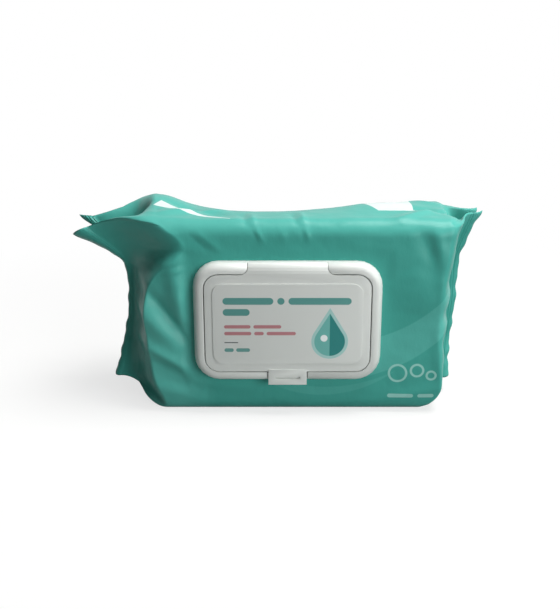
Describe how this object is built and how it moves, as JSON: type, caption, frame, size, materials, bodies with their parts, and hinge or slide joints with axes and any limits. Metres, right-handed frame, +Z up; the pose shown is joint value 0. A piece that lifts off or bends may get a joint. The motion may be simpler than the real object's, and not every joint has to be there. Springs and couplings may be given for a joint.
{
  "type": "wet wipes pack",
  "caption": "Soft film pack of wet wipes standing on its long side, with crimped tucked ends and a moulded flip-top lid on the front.",
  "frame": {"origin": "middle of the flat underside that the pack stands on", "axes": "+Z up, +X along the pack's length to the right as seen from the lid, the lid faces -Y"},
  "size_m": [0.238, 0.0752, 0.1212],
  "materials": {
    "film": "soft satin printed film",
    "wipes": "damp nonwoven",
    "lid_plastic": "fine matt moulded polypropylene"
  },
  "bodies": {
    "pack": {"film_pouch": "film", "wipe_stack": "wipes", "first_wipe": "wipes", "lid_frame": "lid_plastic"},
    "lid": {"flip_lid": "lid_plastic"}
  },
  "joints": [
    {"name": "lid_hinge", "type": "hinge", "parent": "pack", "child": "lid", "pos_m": [-0.002, -0.0357, 0.092], "axis": [-1, 0, 0], "range_deg": [0, 120]}
  ]
}
